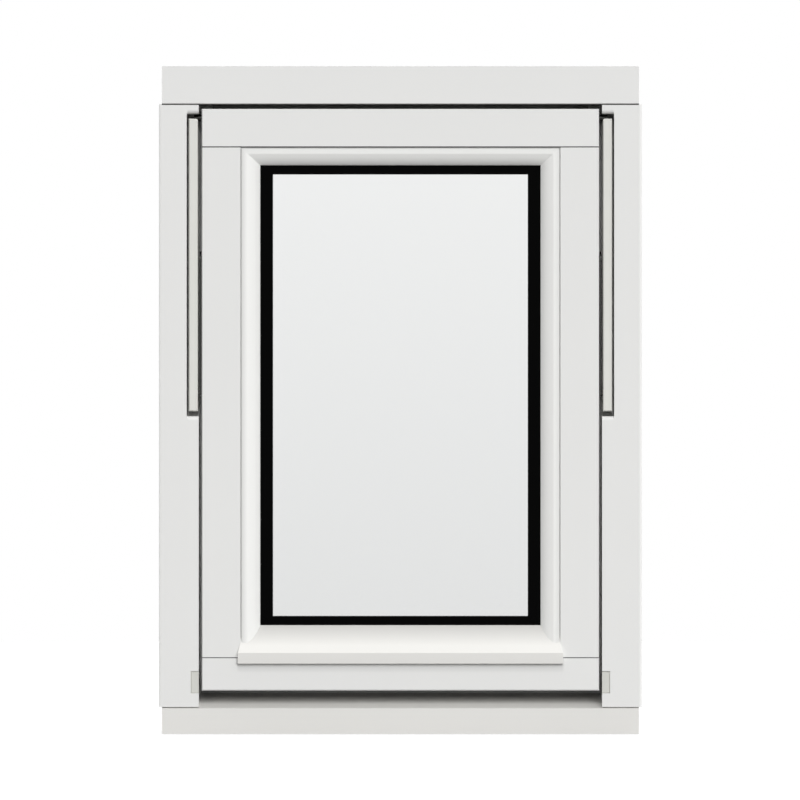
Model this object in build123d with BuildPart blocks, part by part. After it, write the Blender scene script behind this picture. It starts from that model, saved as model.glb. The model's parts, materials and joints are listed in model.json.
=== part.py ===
from build123d import *
import math
import os

# Timber pivot window: a painted frame and one glazed sash. The foot of the sash
# swings out on two side arms while its top pins slide down in the jambs, until
# the sash has turned right over and its outside faces the room.
# X runs to the right as seen from outside, Y into the room, Z upwards.
# The origin is the middle of the sill's underside. Depths are measured from
# the outer face of the frame towards the room. All sizes are in millimetres.

# Frame timbers
frame_width = 588.0
frame_height = 813.2
frame_depth = 115.0
jamb_face = 48.4
jamb_proud = 3.6
head_face = 46.0
sill_nose = 31.4
sill_slope = 15.0
jamb_seat_rise = 1.6
arris = 1.0
outer_arris = 3.0
head_joint_gap = 1.2
rail_joint_gap = 0.9
joint_depth = 4.0

# Sash and the gaps around it
sash_thickness = 56.0
side_gap = 3.8
top_gap = 6.0
sash_lift = 21.6
stile_face = 47.0
top_rail_face = 46.9
bottom_rail_face = 40.5
sash_arris = 1.2
inner_lip = 12.0

# Stops behind the sash, with their seals
stop_gap = 7.0
stop_cover = 12.0
seal_width = 7.0
seal_reach = 4.6

# Glazing beads and the drip bead under the glass
side_bead = 24.0
top_bead = 21.4
drip_bead = 38.9
bead_back = 12.0
bead_lip = 10.5
slope_share = 0.65
slope_end = 1.0
slope_bulge = 1.0
crest_share = 0.8
crest_depth = 0.2
quirk_share = 0.067
shoulder_depth = 2.2
quirk_depth = 3.4
nose_proud = 5.5
nose_height = 13.4
nose_foot = 7.9
nose_horn = 3.2
horn_slant = 9.0
nose_round = 0.8
cove_sag = 2.8
throat_radius = 1.5

# Glass unit, its seals and spacer bars
pane_thickness = 4.0
pane_spacing = 16.0
outer_seal = 2.0
edge_clearance = 4.8
band_side = 15.5
band_end = 11.2
inner_sight = 1.0
spacer_width = 12.0

# Side gear: rail, arm, pins and catch
top_pin_inset = 10.2
pin_radius = 4.0
pin_clearance = 0.1
track_clearance = 0.3
track_depth = 6.6
pin_end_clearance = 0.6
slot_width = 14.7
slot_depth = 46.0
slot_over = 6.0
slot_run_out = 4.5
slot_round = 2.0
rail_width = 11.0
rail_inset = 1.1
rail_setback = 1.2
rail_bevel = 1.3
rail_corner = 2.4
rail_web = 2.7
rail_below_pivot = 14.0
rail_below_pin = 1.6
arm_width = 18.0
arm_thickness = 2.0
arm_sash_gap = 1.0
arm_pin_gap = 1.2
root_thickness = 2.6
root_radius = 8.0
crank_length = 6.5
crank_clearance = 3.0
plate_thickness = 3.0
plate_end_ease = 0.5
pivot_plate_length = 60.0
shoe_plate_length = 38.0
catch_width = 9.7
catch_height = 27.0
catch_depth = 40.0
catch_setback = 1.2
catch_bevel = 1.0

# Wall fixings through the jambs
fixing_radius = 5.0
fixing_depth = 90.0
fixing_low = 150.0
fixing_high = 650.0

# Handle on the room side
handle_height = 100.0
handle_plate_width = 64.0
handle_plate_height = 28.0
handle_plate_thickness = 10.0
handle_plate_corner = 9.0
handle_plate_arris = 2.0
handle_neck_radius = 9.0
handle_neck_length = 26.0
handle_grip_length = 118.0
handle_grip_width = 20.0
handle_grip_thickness = 12.0
handle_grip_round = 3.5

# Places worked out from the sizes above
front = -frame_depth / 2
back = frame_depth / 2
jamb_outside = frame_width / 2
reveal = jamb_outside - jamb_face
head_end = jamb_outside - jamb_proud
rebate_depth = sash_thickness + stop_gap
rebate = front + rebate_depth
slope_rise = math.tan(math.radians(sill_slope))
jamb_foot = sill_nose + jamb_seat_rise
jamb_head = frame_height - head_face
sash_edge = reveal - side_gap
sash_bottom = sill_nose + sash_lift
sash_top = jamb_head - top_gap
sash_inside = front + sash_thickness
stop_edge = sash_edge - stop_cover
stop_top = sash_top - stop_cover
stop_bottom = sash_bottom + stop_cover

bead_edge = sash_edge - stile_face
glass_edge = bead_edge - side_bead
stile_foot = sash_bottom + bottom_rail_face
stile_head = sash_top - top_rail_face
daylight_top = stile_head - top_bead
daylight_bottom = stile_foot + drip_bead
nose_bottom = stile_foot - nose_foot
nose_top = nose_bottom + nose_height

pane_edge = bead_edge - edge_clearance
pane_bottom = stile_foot + edge_clearance
pane_top = stile_head - edge_clearance
pane_depth = bead_back + outer_seal
spacer_depth = pane_depth + pane_thickness
inner_pane_depth = spacer_depth + pane_spacing
inner_seal_depth = inner_pane_depth + pane_thickness
lip_depth = sash_thickness - inner_lip

pivot_y = front + sash_thickness / 2
pivot_z = (sash_top + sash_bottom) / 2
top_pin_z = sash_top - top_pin_inset
arm_length = (top_pin_z - pivot_z) / 2
sash_pin_z = pivot_z + arm_length
turned_pin_z = pivot_z - 2 * arm_length
pin_bore = pin_radius + pin_clearance
track_half = pin_radius + track_clearance
track_floor = reveal + track_depth
pin_end = track_floor - pin_end_clearance
arm_inner = sash_edge + arm_sash_gap
arm_outer = arm_inner + arm_thickness
root_inner = track_floor
root_outer = root_inner + root_thickness
rail_inner = reveal + rail_inset
rail_outer = rail_inner + rail_width
rail_web_face = rail_outer - rail_web
pin_circle = arm_length - pin_radius - arm_pin_gap
crank_reach = arm_length - pin_circle + crank_length
pocket_radius = math.hypot(crank_reach, root_radius) + crank_clearance
rail_bottom = pivot_z - rail_below_pivot
rail_top = top_pin_z - rail_below_pin
slot_low = rail_bottom - slot_over
slot_high = rail_top + slot_over


def block(x_span, depth_span, z_span, mode=Mode.ADD):
    """A squared length between two X, two depths and two heights."""
    width = x_span[1] - x_span[0]
    depth = depth_span[1] - depth_span[0]
    middle = ((x_span[0] + x_span[1]) / 2, front + (depth_span[0] + depth_span[1]) / 2)
    with BuildSketch(Plane.XY.offset(z_span[0])) as footprint:
        with Locations(middle):
            Rectangle(width, depth)
    extrude(footprint.sketch, amount=z_span[1] - z_span[0], mode=mode)


def save(piece, node):
    piece.part.label = node
    export_step(piece.part, f"parts/{node}.step")


def save_pair(piece, node):
    """Writes a right-hand piece and its mirror image on the left."""
    save(piece, f"{node}_right")
    with BuildPart() as left:
        mirror(piece.part, about=Plane.YZ)
    save(left, f"{node}_left")


def along_x(depth, z, x=0.0):
    """A plane that looks along X, at one depth and height."""
    return Plane(origin=(x, front + depth, z), x_dir=(0, 1, 0), z_dir=(1, 0, 0))


def rod(radius, x_from, x_to, y, z, mode=Mode.ADD):
    """A round bar or bore along X."""
    with BuildSketch(Plane(origin=(x_from, y, z), x_dir=(0, 1, 0), z_dir=(1, 0, 0))) as end:
        Circle(radius)
    extrude(end.sketch, amount=x_to - x_from, mode=mode)


def frame_head():
    with BuildPart() as head:
        with BuildSketch(Plane(origin=(-head_end, 0, 0), x_dir=(0, 1, 0), z_dir=(1, 0, 0))):
            with BuildLine():
                Polyline((front, jamb_head), (front, frame_height), (back, frame_height),
                         (back, jamb_head), close=True)
            make_face()
        extrude(amount=2 * head_end)
        block((-stop_edge, stop_edge), (rebate_depth, frame_depth), (stop_top, jamb_head))
        lower_arris = head.edges().filter_by(Axis.X).group_by(Axis.Y)[0].sort_by(Axis.Z)[0]
        chamfer(lower_arris, arris)
    save(head, "frame_head")


def frame_sill():
    slope_top = sill_nose + rebate_depth * slope_rise
    seat_start = jamb_seat_rise / slope_rise
    with BuildPart() as sill:
        with BuildSketch(Plane(origin=(-head_end, 0, 0), x_dir=(0, 1, 0), z_dir=(1, 0, 0))):
            with BuildLine():
                Polyline((front, 0), (back, 0), (back, jamb_foot), (front + seat_start, jamb_foot),
                         (front, sill_nose), close=True)
            make_face()
        extrude(amount=2 * head_end)
        with BuildSketch(Plane(origin=(-reveal, 0, 0), x_dir=(0, 1, 0), z_dir=(1, 0, 0))):
            with BuildLine():
                Polyline((front, sill_nose), (rebate, slope_top), (rebate, 0), (front, 0), close=True)
            make_face()
        extrude(amount=2 * reveal)
        block((-stop_edge, stop_edge), (rebate_depth, frame_depth), (0, stop_bottom))
    save(sill, "frame_sill")


def slot_outline():
    """The slot's outline seen along X, its ends rounded over where they meet the face."""
    end_low = slot_low - slot_run_out
    end_high = slot_high + slot_run_out
    with BuildLine() as outline:
        RadiusArc((0, end_low), (slot_run_out, slot_low), slot_run_out)
        Polyline((slot_run_out, slot_low), (slot_depth, slot_low), (slot_depth, slot_high),
                 (slot_run_out, slot_high))
        RadiusArc((slot_run_out, slot_high), (0, end_high), slot_run_out)
        Line((0, end_high), (0, end_low))
    make_face(outline.edges())


def frame_jamb():
    with BuildPart() as jamb:
        with BuildSketch(Plane.XY.offset(jamb_foot)):
            with BuildLine():
                Polyline((reveal, front), (jamb_outside, front), (jamb_outside, back),
                         (stop_edge, back), (stop_edge, rebate), (reveal, rebate), close=True)
            make_face()
        extrude(amount=jamb_head - jamb_foot)
        outer = jamb.edges().filter_by(Axis.Z).group_by(Axis.Y)[0].sort_by(Axis.X)[-1]
        fillet(outer, outer_arris)
        block((reveal, jamb_outside), (0, joint_depth), (jamb_head - head_joint_gap, jamb_head),
              mode=Mode.SUBTRACT)
        with BuildPart(mode=Mode.PRIVATE) as slot:
            with BuildSketch(along_x(0, 0, reveal)):
                slot_outline()
            extrude(amount=slot_width)
            run_outs = slot.edges().filter_by(GeomType.CIRCLE).group_by(Axis.X)[-1]
            fillet(run_outs, slot_round)
        add(slot.part, mode=Mode.SUBTRACT)
        track = (pivot_y - front - track_half, pivot_y - front + track_half)
        block((reveal, track_floor), track, (turned_pin_z - track_half, top_pin_z + track_half),
              mode=Mode.SUBTRACT)
        rod(pocket_radius, reveal, rail_web_face, pivot_y, pivot_z, mode=Mode.SUBTRACT)
        catch_low = turned_pin_z - catch_height / 2
        block((reveal, reveal + catch_width), (0, catch_depth), (catch_low, catch_low + catch_height),
              mode=Mode.SUBTRACT)
        for height in (fixing_low, fixing_high):
            rod(fixing_radius, stop_edge, jamb_outside, front + fixing_depth, height, mode=Mode.SUBTRACT)
    save_pair(jamb, "frame_jamb")


def guide_rail():
    with BuildPart() as rail:
        block((rail_inner, rail_outer), (rail_setback, slot_depth), (rail_bottom, rail_top))
        top_corner = rail.edges().filter_by(Axis.Y).group_by(Axis.Z)[-1].sort_by(Axis.X)[0]
        fillet(top_corner, rail_corner)
        face_arrises = rail.faces().sort_by(Axis.Y)[0].edges()
        chamfer(face_arrises, rail_bevel)
        track = (pivot_y - front - track_half, pivot_y - front + track_half)
        block((rail_inner, track_floor), track, (rail_bottom, rail_top), mode=Mode.SUBTRACT)
        rod(pocket_radius, rail_inner, rail_web_face, pivot_y, pivot_z, mode=Mode.SUBTRACT)
        rod(pin_bore, rail_web_face, rail_outer, pivot_y, pivot_z, mode=Mode.SUBTRACT)
    save_pair(rail, "guide_rail")


def catch():
    catch_low = turned_pin_z - catch_height / 2
    with BuildPart() as block_piece:
        block((reveal, reveal + catch_width), (catch_setback, catch_depth),
              (catch_low, catch_low + catch_height))
        face_arrises = block_piece.faces().sort_by(Axis.Y)[0].edges().group_by(Axis.X)[1:]
        chamfer([edge for group in face_arrises for edge in group], catch_bevel)
        track = (pivot_y - front - track_half, pivot_y - front + track_half)
        block((reveal, track_floor), track, (turned_pin_z, catch_low + catch_height), mode=Mode.SUBTRACT)
        rod(track_half, reveal, track_floor, pivot_y, turned_pin_z, mode=Mode.SUBTRACT)
    save_pair(block_piece, "catch")


def side_arm():
    with BuildPart() as arm:
        with BuildSketch(Plane(origin=(arm_inner, pivot_y, pivot_z), x_dir=(0, 1, 0), z_dir=(1, 0, 0))):
            with Locations((0, arm_length / 2)):
                SlotCenterToCenter(arm_length, arm_width, rotation=90)
            with Locations((0, -arm_width / 2)):
                Rectangle(2 * arm_width, arm_width, mode=Mode.SUBTRACT)
            with BuildSketch(mode=Mode.PRIVATE) as inside_ring:
                with Locations((0, arm_length)):
                    Circle(pin_circle)
            add(inside_ring.sketch, mode=Mode.INTERSECT)
        extrude(amount=arm_thickness)
        with BuildSketch(Plane(origin=(arm_outer, pivot_y, pivot_z), x_dir=(0, 1, 0), z_dir=(1, 0, 0))):
            with Locations((0, crank_reach / 2)):
                Rectangle(2 * root_radius, crank_reach)
            with BuildSketch(mode=Mode.PRIVATE) as inside_ring:
                with Locations((0, arm_length)):
                    Circle(pin_circle)
            add(inside_ring.sketch, mode=Mode.INTERSECT)
        extrude(amount=root_outer - arm_outer)
        with BuildSketch(Plane(origin=(root_inner, pivot_y, pivot_z), x_dir=(0, 1, 0), z_dir=(1, 0, 0))):
            Circle(root_radius)
            with Locations((0, crank_reach / 2)):
                Rectangle(2 * root_radius, crank_reach)
        extrude(amount=root_thickness)
        rod(pin_radius, root_outer, rail_outer, pivot_y, pivot_z)
        rod(pin_bore, arm_inner, arm_outer, pivot_y, sash_pin_z, mode=Mode.SUBTRACT)
    save_pair(arm, "side_arm")


def edge_plate(length, low, side=1, mode=Mode.ADD):
    """A round-ended plate let into the sash's edge, or its recess."""
    with BuildSketch(along_x(pivot_y - front, low + length / 2, side * sash_edge)) as outline:
        RectangleRounded(arm_width, length, arm_width / 2 - plate_end_ease)
    extrude(outline.sketch, amount=-side * plate_thickness, mode=mode)


def sash_pivot():
    with BuildPart() as pivot:
        edge_plate(pivot_plate_length, sash_pin_z - pivot_plate_length / 2)
        rod(pin_radius, sash_edge, arm_outer + arm_thickness / 4, pivot_y, sash_pin_z)
    save_pair(pivot, "sash_pivot")


def top_shoe():
    with BuildPart() as shoe:
        edge_plate(shoe_plate_length, sash_top - shoe_plate_length)
        rod(pin_radius, sash_edge, pin_end, pivot_y, top_pin_z)
    save_pair(shoe, "top_shoe")


def seals():
    depth_span = (rebate_depth - seal_reach, rebate_depth)
    side_span = (stop_edge, stop_edge + seal_width)
    low = stop_bottom - seal_width
    high = stop_top + seal_width
    with BuildPart() as side_seal:
        block(side_span, depth_span, (low, high))
    save_pair(side_seal, "jamb_seal")
    for node, span in (("head_seal", (stop_top, high)), ("sill_seal", (low, stop_bottom))):
        with BuildPart() as cross_seal:
            block((-stop_edge, stop_edge), depth_span, span)
        save(cross_seal, node)


def sash_stile():
    with BuildPart() as stile:
        with BuildSketch(Plane.XY.offset(stile_foot)):
            with BuildLine():
                Polyline((bead_edge, front), (sash_edge, front), (sash_edge, sash_inside),
                         (glass_edge, sash_inside), (glass_edge, front + lip_depth),
                         (bead_edge, front + lip_depth), close=True)
            make_face()
        extrude(amount=stile_head - stile_foot)
        outer = stile.edges().filter_by(Axis.Z).group_by(Axis.X)[-1]
        chamfer(outer, sash_arris)
        edge_plate(pivot_plate_length, sash_pin_z - pivot_plate_length / 2, mode=Mode.SUBTRACT)
    save_pair(stile, "sash_stile")


def sash_rail(node, outer_z, shoulder_z, lip_z):
    """A rail across the whole sash, with the glazing lip between the stiles."""
    low, high = sorted((outer_z, shoulder_z))
    lip_low, lip_high = sorted((shoulder_z, lip_z))
    groove = math.copysign(rail_joint_gap, outer_z - shoulder_z)
    groove_low, groove_high = sorted((shoulder_z, shoulder_z + groove))
    with BuildPart() as rail:
        block((-sash_edge, sash_edge), (0, sash_thickness), (low, high))
        ends = rail.edges().filter_by(Axis.Z)
        outer = rail.edges().filter_by(Axis.X).filter_by_position(Axis.Z, outer_z - 0.1, outer_z + 0.1)
        chamfer(ends + outer, sash_arris)
        block((-sash_edge, sash_edge), (0, joint_depth), (groove_low, groove_high), mode=Mode.SUBTRACT)
        block((-glass_edge, glass_edge), (lip_depth, sash_thickness), (lip_low, lip_high))
        if shoulder_z < outer_z:
            for side in (-1, 1):
                edge_plate(shoe_plate_length, sash_top - shoe_plate_length, side, Mode.SUBTRACT)
    save(rail, node)


def bead_section(width):
    """A bead's section: a swelling slope, a round crest and a quirk at its outer edge."""
    lip = (0, front + bead_lip)
    foot = (slope_share * width, front + slope_end)
    crest = (crest_share * width, front + crest_depth)
    quirk_start = width - quirk_share * width
    shoulder = (quirk_start, front + shoulder_depth)
    with BuildLine() as outline:
        SagittaArc(foot, lip, slope_bulge)
        ThreePointArc(foot, crest, shoulder)
        Polyline(shoulder, (quirk_start, front + quirk_depth), (width, front + quirk_depth),
                 (width, front + bead_back), (0, front + bead_back), lip)
    make_face(outline.edges())


def mitre_plane(side):
    """The plane through a top corner's mitre, facing the top bead."""
    return Plane(origin=(side * glass_edge, 0, daylight_top), x_dir=(0, 1, 0),
                 z_dir=(-side * top_bead, 0, side_bead))


def drip_section():
    """The drip bead's section: a cove down to a nose with a throat under it."""
    lip = front + bead_lip
    nose = front - nose_proud
    with BuildLine() as outline:
        SagittaArc((lip, daylight_bottom), (nose, nose_top), cove_sag)
        Polyline((nose, nose_top), (nose, nose_bottom), (front, nose_bottom), (front, stile_foot),
                 (front + bead_back, stile_foot), (front + bead_back, daylight_bottom),
                 (lip, daylight_bottom))
    make_face(outline.edges())


def glazing_beads():
    nose_half = bead_edge + nose_horn
    with BuildPart() as drip:
        with BuildSketch(Plane(origin=(-nose_half, 0, 0), x_dir=(0, 1, 0), z_dir=(1, 0, 0))):
            drip_section()
        extrude(amount=2 * nose_half)
        nose_arris = drip.edges().filter_by(Axis.X).group_by(Axis.Y)[0]
        fillet(nose_arris, nose_round)
        for side in (-1, 1):
            inner, outer = sorted((side * bead_edge, side * (nose_half + 1)))
            block((inner, outer), (0, bead_back), (nose_bottom, daylight_bottom), mode=Mode.SUBTRACT)
            with BuildSketch(Plane.XZ.offset(-front - bead_back)):
                with BuildLine():
                    Polyline((side * bead_edge, nose_top + horn_slant),
                             (side * nose_half, nose_top), (side * (nose_half + 1), nose_top),
                             (side * (nose_half + 1), daylight_bottom),
                             (side * bead_edge, daylight_bottom), close=True)
                make_face()
            extrude(amount=bead_back + nose_proud + 1, mode=Mode.SUBTRACT)
        rod(throat_radius, -nose_half, nose_half, front - nose_proud / 2, nose_bottom, mode=Mode.SUBTRACT)
    save(drip, "drip_bead")

    with BuildPart() as side_piece:
        with BuildSketch(Plane(origin=(glass_edge, 0, stile_foot))):
            bead_section(side_bead)
        extrude(amount=stile_head - stile_foot)
        split(bisect_by=mitre_plane(1), keep=Keep.BOTTOM)
        add(drip.part, mode=Mode.SUBTRACT)
    save_pair(side_piece, "side_bead")

    with BuildPart() as top_piece:
        with BuildSketch(Plane(origin=(bead_edge, 0, daylight_top), x_dir=(0, 0, 1), z_dir=(-1, 0, 0))):
            bead_section(top_bead)
        extrude(amount=2 * bead_edge)
        split(bisect_by=mitre_plane(1), keep=Keep.TOP)
        split(bisect_by=mitre_plane(-1), keep=Keep.TOP)
    save(top_piece, "top_bead")


def glazing():
    for node, depth in (("outer_pane", pane_depth), ("inner_pane", inner_pane_depth)):
        with BuildPart() as pane:
            block((-pane_edge, pane_edge), (depth, depth + pane_thickness), (pane_bottom, pane_top))
        save(pane, node)

    strip_ring("outer_seal", (bead_back, pane_depth), glass_edge - band_side,
               daylight_bottom + band_end, daylight_top - band_end)
    strip_ring("inner_seal", (inner_seal_depth, lip_depth), glass_edge - inner_sight,
               daylight_bottom + inner_sight, daylight_top - inner_sight)
    strip_ring("spacer", (spacer_depth, inner_pane_depth), pane_edge - spacer_width,
               pane_bottom + spacer_width, pane_top - spacer_width)


def strip_ring(node, depth_span, inner_x, inner_low, inner_high):
    """Four strips round the glass: the cross strips run over the upright ones."""
    with BuildPart() as upright:
        block((inner_x, pane_edge), depth_span, (inner_low, inner_high))
    save_pair(upright, node)
    for place, span in (("top", (inner_high, pane_top)), ("bottom", (pane_bottom, inner_low))):
        with BuildPart() as cross:
            block((-pane_edge, pane_edge), depth_span, span)
        save(cross, f"{node}_{place}")


def handle():
    neck_start = sash_thickness + handle_plate_thickness
    with BuildPart() as plate:
        with BuildSketch(Plane.XZ.offset(-sash_inside)):
            with Locations((0, handle_height)):
                RectangleRounded(handle_plate_width, handle_plate_height, handle_plate_corner)
        extrude(amount=-handle_plate_thickness)
        chamfer(plate.faces().sort_by(Axis.Y)[-1].edges(), handle_plate_arris)
    save(plate, "handle_plate")

    neck_end = front + neck_start + handle_neck_length
    with BuildPart() as lever:
        with BuildSketch(Plane.XZ.offset(-(front + neck_start))):
            with Locations((0, handle_height)):
                Circle(handle_neck_radius)
        extrude(amount=-handle_neck_length)
        with BuildSketch(Plane.XZ.offset(-neck_end + handle_grip_thickness)):
            with Locations((handle_grip_length / 2 - handle_neck_radius, handle_height)):
                SlotOverall(handle_grip_length, handle_grip_width)
        extrude(amount=-handle_grip_thickness)
        fillet(lever.faces().sort_by(Axis.Y)[-1].edges(), handle_grip_round)
    save(lever, "handle_lever")


os.makedirs("parts", exist_ok=True)
frame_head()
frame_sill()
frame_jamb()
guide_rail()
catch()
side_arm()
sash_pivot()
top_shoe()
seals()
sash_stile()
sash_rail("sash_top_rail", sash_top, stile_head, daylight_top)
sash_rail("sash_bottom_rail", sash_bottom, stile_foot, daylight_bottom)
glazing_beads()
glazing()
handle()
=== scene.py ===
import json
import math

import bmesh
import bpy
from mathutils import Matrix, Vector


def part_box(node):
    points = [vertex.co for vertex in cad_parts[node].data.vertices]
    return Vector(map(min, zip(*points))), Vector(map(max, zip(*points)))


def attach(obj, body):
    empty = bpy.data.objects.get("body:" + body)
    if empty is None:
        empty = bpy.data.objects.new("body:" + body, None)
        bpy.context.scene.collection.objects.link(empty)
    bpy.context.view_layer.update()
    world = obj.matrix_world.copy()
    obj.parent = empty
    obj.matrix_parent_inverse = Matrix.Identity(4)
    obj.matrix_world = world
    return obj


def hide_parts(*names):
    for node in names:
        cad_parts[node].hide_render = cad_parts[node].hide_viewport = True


bl_info = {
    "name": "Pivot Window Dresser",
    "version": (1, 0, 0),
    "blender": (4, 5, 0),
    "location": "View3D > Sidebar > Pivot Window",
    "description": "Paints, glazes and lights a timber pivot window around its measured frame",
    "category": "Object",
}

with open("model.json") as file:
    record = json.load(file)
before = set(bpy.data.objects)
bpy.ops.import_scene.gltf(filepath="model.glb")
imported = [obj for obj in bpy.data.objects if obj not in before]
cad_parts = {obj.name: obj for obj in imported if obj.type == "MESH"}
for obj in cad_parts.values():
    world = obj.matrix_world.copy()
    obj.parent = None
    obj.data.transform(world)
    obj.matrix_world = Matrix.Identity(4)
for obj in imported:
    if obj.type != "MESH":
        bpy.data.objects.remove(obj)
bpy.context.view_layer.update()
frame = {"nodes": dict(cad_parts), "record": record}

# The sash's outer face, and how far behind it the beads' backs lie on the glazing strip
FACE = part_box("sash_stile_right")[0].y
BEAD_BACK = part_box("drip_bead")[1].y - FACE

# How a pattern is drawn out along the grain of an upright or of a cross timber
UPRIGHT = (1.0, 1.0, 0.04)
CROSS = (0.04, 1.0, 1.0)

# Painted shade deep in the rebate. It starts behind the face and is full before the seal, stays on this
# side of the jamb's outer side, and on the jambs is full below a height, above which it fades
REBATE_SHADE_START, REBATE_SHADE_FULL, REBATE_SHADE_SIDE, REBATE_SHADE_SIDE_FADE = 0.018, 0.012, 0.025, 0.001
REBATE_SHADE_HEIGHT, REBATE_SHADE_FADE = 0.05, 0.035
# How deep the open joints go, and how far each timber's painted shade reaches from the joint
JOINT_DEPTH, JAMB_JOINT, TOP_JOINT, BOTTOM_JOINT = 0.0042, 0.0011, 0.0013, 0.00095
# Where the jambs' outer arrises get a painted highlight: how near the side and the face, and how far it
# fades
ARRIS_SIDE, ARRIS_FADE, ARRIS_FACE = 0.0008, 0.0022, 0.002
# The painted shadow under the drip bead, and how high above the nose the painted shade on its slope
# starts
DRIP_EDGE, DRIP_SHADOW_REACH, DRIP_SHADOW_ENDS, GLASS_SHADE_START = 0.001, 0.01, 0.003, 0.009
# The width over which an edge in the paint fades, and that of the sharpest
EDGE, HAIR = 0.0002, 0.0001

# How finely the beads' curves are cut, how round the crest is, and how far the side beads are
# sunk under the drip bead's slope
SLOPE_CUTS, CREST_CUTS, ROLL_CUTS, DRIP_CUTS, NOSE_CUTS, THROAT_CUTS = 12, 4, 10, 24, 8, 16
CREST_BOW = 0.0001
SCRIBE_SINK = 0.0003
SHARP_ARRIS = math.radians(14.0)

# The bulb seal: its foot's thickness, the arc of its bulb, and its colour
SEAL_FOOT, BULB_GROWTH, BULB_CUTS = 0.0009, 0.0003, 16
BULB_START, BULB_SWEEP = -50.0, 280.0
SEAL_COLOUR = (0.012, 0.012, 0.012)

# Sides of a screw's head, and how far the screws stand from the ends or fronts of their pieces
SCREW_SIDES = 24
PLATE_SCREW, RAIL_SCREW_LOW, RAIL_SCREW_HIGH, CATCH_SCREW = 0.008, 0.06, 0.04, 0.011

# The floor, and what the room shows at the horizon to a ray that a gloss throws back
FLOOR_REACH, FLOOR_DROP, FLOOR_COLOUR, FLOOR_GLOW = 4.5, 0.0005, 0.2, 0.86
WALL_RISE, WALL_GLOW = (-0.022, 0.0227), (0.81, 0.918)
# How the soft light goes over from front to back and from below to above, and what is below
FRONT_TO_BACK, BELOW_TO_ABOVE, BELOW, SIDE_SHARE = (-0.3, 0.05), (-0.03, 0.05), 0.06, 0.5
KEY_SPOT, KEY_AIM = (2.2, -8.3, 3.9), (0.0, 0.0, 0.4)
SENSOR = 36.0


class Signal:
    """A shader socket that takes part in arithmetic: each operation adds a Math node."""

    def __init__(self, finish, socket):
        self.finish = finish
        self.socket = socket

    def combine(self, operation, first, second):
        return self.finish.node("ShaderNodeMath", {"operation": operation}, {0: first, 1: second})

    def __add__(self, other):
        return self.combine("ADD", self, other)

    def __radd__(self, other):
        return self.combine("ADD", other, self)

    def __sub__(self, other):
        return self.combine("SUBTRACT", self, other)

    def __rsub__(self, other):
        return self.combine("SUBTRACT", other, self)

    def __mul__(self, other):
        return self.combine("MULTIPLY", self, other)

    def __rmul__(self, other):
        return self.combine("MULTIPLY", other, self)


class Finish:
    """A node tree under construction, for a material or for the world."""

    def __init__(self, owner):
        owner.use_nodes = True
        self.owner = owner
        self.tree = owner.node_tree
        self.tree.nodes.clear()

    def node(self, kind, settings, values, output=0):
        """Adds a node, sets it up, fills its sockets and gives back one of its outputs."""
        made = self.tree.nodes.new(kind)
        for name, value in settings.items():
            setattr(made, name, value)
        for name, value in values.items():
            if isinstance(value, Signal):
                self.tree.links.new(value.socket, made.inputs[name])
            else:
                made.inputs[name].default_value = value
        if not made.outputs:
            return made
        return Signal(self, made.outputs[output])

    def place(self, stretch=(1.0, 1.0, 1.0)):
        """Object coordinates, drawn out along one axis where a pattern has a direction."""
        spot = self.node("ShaderNodeTexCoord", {}, {}, "Object")
        return self.node("ShaderNodeMapping", {}, {"Vector": spot, "Scale": stretch})

    def clouds(self, scale, detail, stretch=(1.0, 1.0, 1.0)):
        """Soft noise around a half, as a number."""
        return self.node("ShaderNodeTexNoise", {}, {"Vector": self.place(stretch), "Scale": scale,
                                                    "Detail": detail})

    def rise(self, axis, start, end):
        """A number that goes from nought to one between two places along an axis of the object."""
        spot = self.node("ShaderNodeTexCoord", {}, {}, "Object")
        part = self.node("ShaderNodeSeparateXYZ", {}, {"Vector": spot}, axis)
        return self.node("ShaderNodeMapRange", {}, {"Value": part, "From Min": start,
                                                    "From Max": end})

    def shade(self, low, high, amount):
        """A colour between two, by a number from nought to one."""
        return self.node("ShaderNodeMix", {"data_type": "RGBA"}, {0: amount, 6: low, 7: high}, 2)

    def bump(self, height, distance, strength):
        return self.node("ShaderNodeBump", {}, {"Height": height, "Distance": distance,
                                                "Strength": strength})

    def surface(self, **values):
        """The Principled surface, with a socket's name written with underscores for spaces."""
        sockets = {name.replace("_", " "): value for name, value in values.items()}
        body = self.node("ShaderNodeBsdfPrincipled", {}, sockets)
        self.node("ShaderNodeOutputMaterial", {}, {"Surface": body})
        return self.owner


def rgba(colour):
    return (colour[0], colour[1], colour[2], 1.0)


def scaled(colour, share):
    return (colour[0] * share, colour[1] * share, colour[2] * share, 1.0)


def above(axis, place, fade=EDGE):
    """The span of an axis past a place, which it fades up to."""
    return (axis, place - fade, place)


def below(axis, place, fade=EDGE):
    """The span of an axis before a place, past which it fades out."""
    return (axis, place + fade, place)


def within(place, fade=EDGE):
    """The spans across the window between a place on its right and the same on its left."""
    return (below("X", place, fade), above("X", -place, fade))


def painted_timber(name, settings, base, stretch, shading_rows):
    """Satin paint: brush marks along the timber, the grain just showing, a few soft shades.

    Each row of painted shading is a share of the colour: darker for painted shade, lighter for a
    painted highlight, or the plain colour again. With it come the spans in which it shows: an axis,
    the place where it starts and the place where it is full.
    """
    paint = Finish(bpy.data.materials.new(name))
    brush = paint.clouds(900.0 * settings.brush_scale, 3.0, stretch)
    grain = paint.clouds(160.0 * settings.brush_scale, 5.0, stretch)
    cast = paint.clouds(9.0, 2.0)
    height = brush * 0.6 + grain * 0.4
    colour = paint.shade(scaled(base, 0.988), scaled(base, 1.012), cast)
    for share, *spans in shading_rows:
        amount = paint.rise(*spans[0])
        for span in spans[1:]:
            amount = amount * paint.rise(*span)
        colour = paint.shade(colour, scaled(base, share), amount)
    return paint.surface(Base_Color=colour, Roughness=settings.roughness - 0.05 + brush * 0.1,
                         Normal=paint.bump(height, 0.00035, settings.relief), IOR=1.5)


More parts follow.
